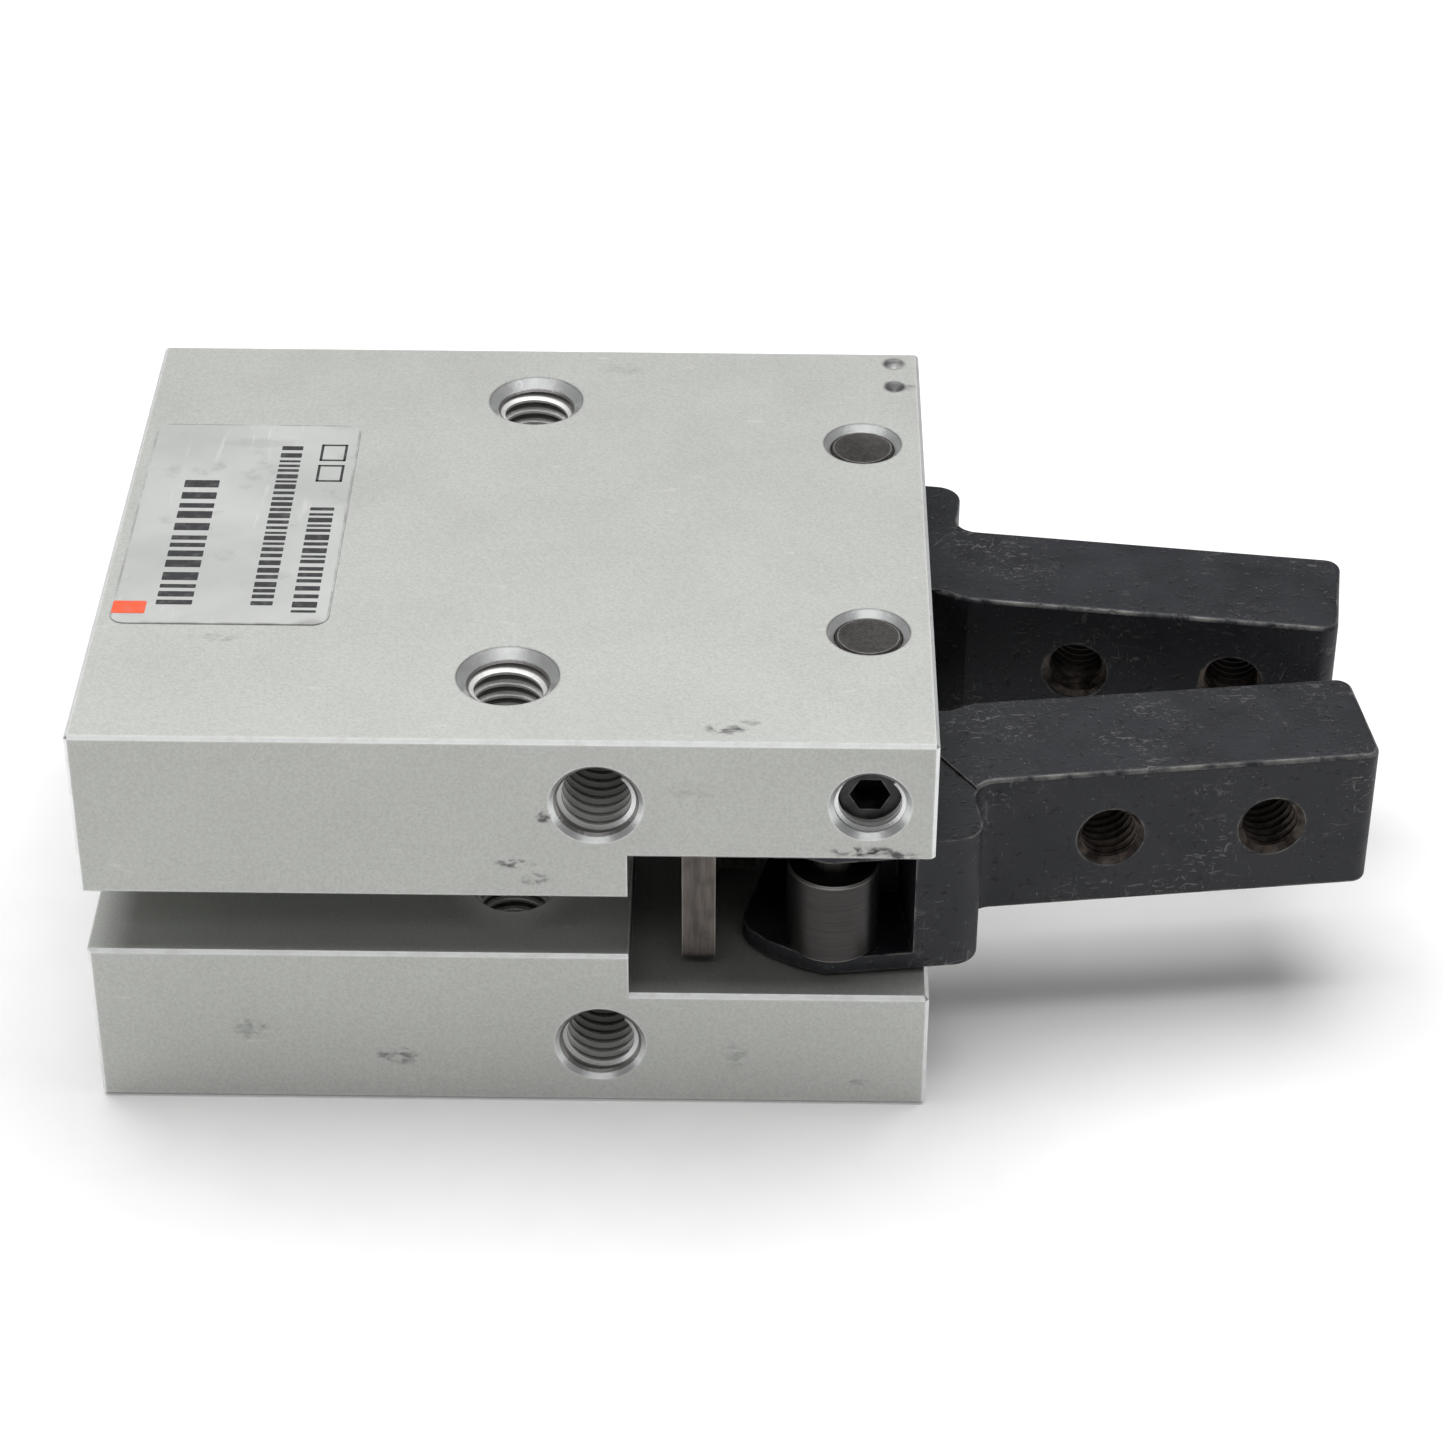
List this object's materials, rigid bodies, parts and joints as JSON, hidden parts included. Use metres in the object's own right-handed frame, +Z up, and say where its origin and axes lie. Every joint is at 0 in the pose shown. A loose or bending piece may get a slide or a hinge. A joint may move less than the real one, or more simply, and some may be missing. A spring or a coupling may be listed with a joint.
{
  "type": "pneumatic gripper",
  "caption": "Block-shaped pneumatic angular gripper: a double piston swings pivoted fingers with tapped jaw holes open and closed.",
  "frame": {"origin": "centre of the bottom face, midway between the two vertical M6 mounting holes", "axes": "+X from the rear cap to the finger tips, +Y from the right finger to the left, +Z up through the label face"},
  "size_m": [0.0928, 0.054, 0.0321],
  "materials": {
    "anodised_body": "fine matt anodised",
    "cap_aluminium": "turned, satin",
    "piston_aluminium": "turned, satin",
    "finger_steel": "dark oxide, as cast with worn edges",
    "crosshead_steel": "satin, oiled brown grey",
    "roller_steel": "ground, scratched round",
    "pin_steel": "ground",
    "rod_steel": "hard chrome",
    "screw_steel": "black oxide",
    "ring_steel": "phosphated spring steel",
    "seal_rubber": "matt",
    "bumper_rubber": "matt",
    "magnet": "bonded magnet",
    "label_film": "silver film"
  },
  "bodies": {
    "housing": {"body": "anodised_body", "rear_cap": "cap_aluminium", "cap_seal": "seal_rubber", "retaining_ring": "ring_steel", "rear_bumper": "bumper_rubber", "front_bumper": "bumper_rubber", "rod_seal": "seal_rubber", "right_pivot_pin": "pin_steel", "left_pivot_pin": "pin_steel", "right_set_screw": "screw_steel", "left_set_screw": "screw_steel", "label": "label_film"},
    "rear_piston_unit": {"rear_piston": "piston_aluminium", "rear_piston_seal": "seal_rubber", "rod_nut": "pin_steel", "piston_rod": "rod_steel", "centre_pin": "pin_steel"},
    "front_piston_unit": {"front_piston": "rod_steel", "front_piston_seal": "seal_rubber", "inner_rod_seal": "seal_rubber", "magnet_ring": "magnet", "crosshead": "crosshead_steel"},
    "right_jaw": {"right_finger": "finger_steel", "right_roller_pin": "pin_steel"},
    "left_jaw": {"left_finger": "finger_steel", "left_roller_pin": "pin_steel"},
    "right_cam_roller": {"right_roller": "roller_steel"},
    "left_cam_roller": {"left_roller": "roller_steel"}
  },
  "joints": [
    {"name": "right_finger_hinge", "type": "hinge", "parent": "housing", "child": "right_jaw", "pos_m": [0.02535, -0.013, 0.016], "axis": [0, 0, -1], "range_deg": [0, 22.5]},
    {"name": "left_finger_hinge", "type": "hinge", "parent": "housing", "child": "left_jaw", "pos_m": [0.02535, 0.013, 0.016], "axis": [0, 0, 1], "range_deg": [0, 22.5]},
    {"name": "rear_piston_slide", "type": "slide", "parent": "housing", "child": "rear_piston_unit", "axis": [1, 0, 0], "range_m": [0, 0.00525]},
    {"name": "front_piston_slide", "type": "slide", "parent": "housing", "child": "front_piston_unit", "axis": [-1, 0, 0], "range_m": [0, 0.00342]},
    {"name": "right_roller_spin", "type": "hinge", "parent": "right_jaw", "child": "right_cam_roller", "pos_m": [0.02301, -0.02239, 0.016], "axis": [0, 0, 1], "continuous": true},
    {"name": "left_roller_spin", "type": "hinge", "parent": "left_jaw", "child": "left_cam_roller", "pos_m": [0.02301, 0.02239, 0.016], "axis": [0, 0, 1], "continuous": true}
  ],
  "couplings": [
    {"joint": "left_finger_hinge", "follows": "right_finger_hinge", "ratio": 1},
    {"joint": "rear_piston_slide", "follows": "right_finger_hinge", "m_per_rad": 0.0133},
    {"joint": "front_piston_slide", "follows": "right_finger_hinge", "m_per_rad": 0.00866}
  ]
}
